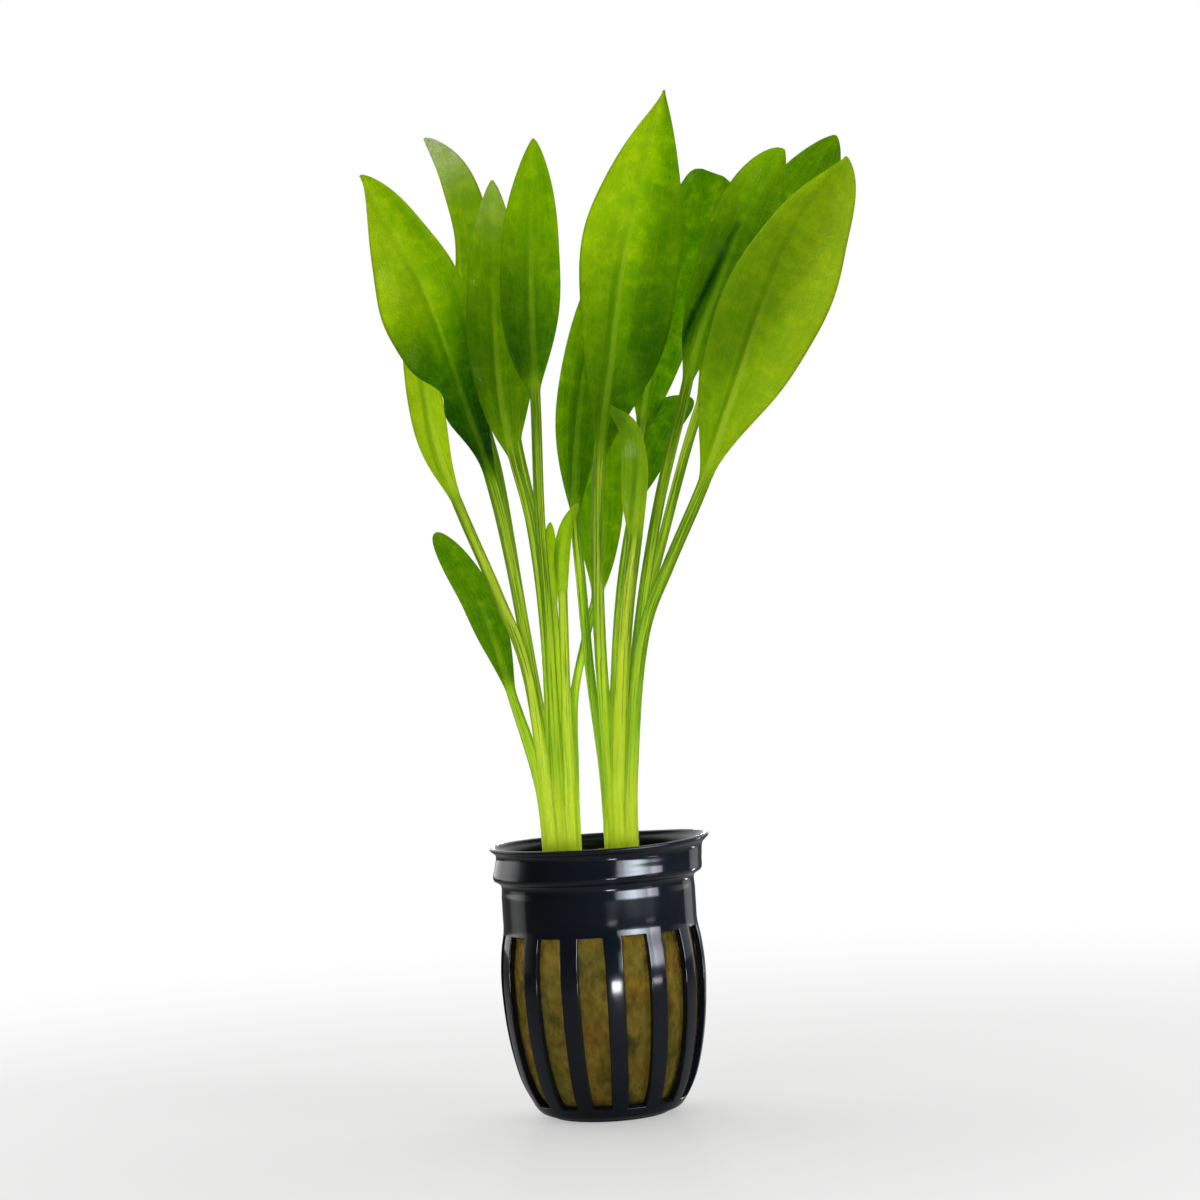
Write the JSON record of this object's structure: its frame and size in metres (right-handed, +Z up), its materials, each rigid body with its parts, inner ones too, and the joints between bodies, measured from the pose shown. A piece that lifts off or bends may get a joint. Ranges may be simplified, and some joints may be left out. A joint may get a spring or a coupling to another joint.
{
  "type": "potted echinodorus",
  "caption": "Bushy aquarium plant with long-stalked lance-shaped green leaves in two clumps, rooted in mineral wool in a black slotted plastic net pot.",
  "frame": {"origin": "centre of the pot's flat base", "axes": "+Z up along the pot's axis; seen from -Y the taller clump of leaves is on the right, at +X"},
  "size_m": [0.1158, 0.0662, 0.2366],
  "materials": {
    "black_plastic": "glossy moulded black plastic",
    "mineral_wool": "damp brown olive fibres, stands in for mineral wool",
    "rootstock": "dull fibrous rootstock",
    "leaf": "wet glossy green leaf, stands in for plant tissue"
  },
  "bodies": {
    "root": {"net_pot": "black_plastic", "growing_plug": "mineral_wool", "left_crown": "rootstock", "right_crown": "rootstock", "left_broad_leaf": "leaf", "left_lower_leaf": "leaf", "left_short_leaf": "leaf", "left_back_leaf": "leaf", "left_middle_leaf": "leaf", "left_front_leaf": "leaf", "left_rear_leaf": "leaf", "left_bud_leaf": "leaf", "left_hooked_leaf": "leaf", "crossing_leaf": "leaf", "right_inner_leaf": "leaf", "right_tall_leaf": "leaf", "right_round_leaf": "leaf", "right_broad_leaf": "leaf", "right_rear_leaf": "leaf", "right_slim_leaf": "leaf", "right_bent_leaf": "leaf", "right_young_leaf": "leaf"}
  },
  "joints": []
}
